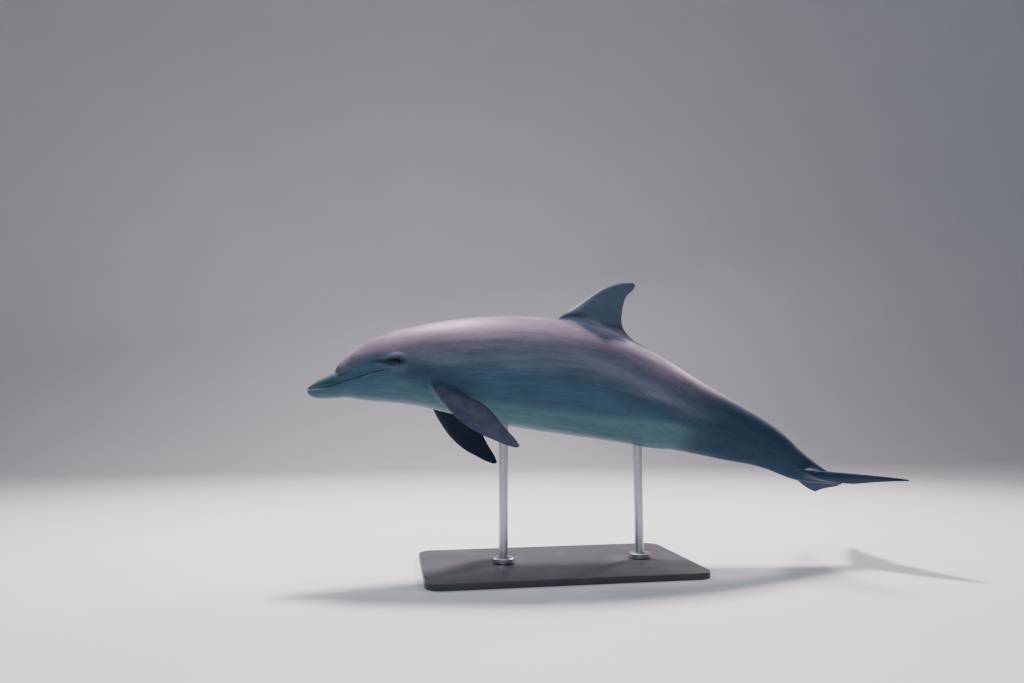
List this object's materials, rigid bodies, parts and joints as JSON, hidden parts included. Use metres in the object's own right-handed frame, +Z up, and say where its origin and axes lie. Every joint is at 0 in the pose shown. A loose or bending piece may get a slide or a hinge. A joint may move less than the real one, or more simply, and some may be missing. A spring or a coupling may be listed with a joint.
{
  "type": "bottlenose dolphin model",
  "caption": "Life-size bottlenose dolphin gliding with a slight bank, mouth closed, held by slim rods on a flat display base.",
  "frame": {"origin": "on the floor, at the middle of the underside of the stand's base", "axes": "+Z up; -X towards the tip of the beak, along the dolphin's length; -Y on the dolphin's left side, which is the side that the picture shows"},
  "size_m": [2.3555, 0.6901, 1.2144],
  "materials": {
    "slate_skin": "smooth wet-looking skin, dark slate grey over the back",
    "flipper_skin": "smooth dark mauve-grey skin of the flippers",
    "pale_skin": "smooth pale grey skin of jaw and throat",
    "eye": "dark, glossy",
    "base_paint": "satin black paint",
    "rod_steel": "satin steel"
  },
  "bodies": {
    "root": {"upper_beak": "slate_skin", "lower_jaw": "pale_skin", "head": "slate_skin", "thorax": "slate_skin", "abdomen": "slate_skin", "tail_stock": "slate_skin", "dorsal_fin": "slate_skin", "flipper_left": "flipper_skin", "flipper_right": "flipper_skin", "fluke_left": "slate_skin", "fluke_right": "slate_skin", "eye_left": "eye", "eye_right": "eye", "stand_base": "base_paint", "stand_collar_front": "rod_steel", "stand_collar_rear": "rod_steel", "stand_rod_front": "rod_steel", "stand_rod_rear": "rod_steel"}
  },
  "joints": []
}
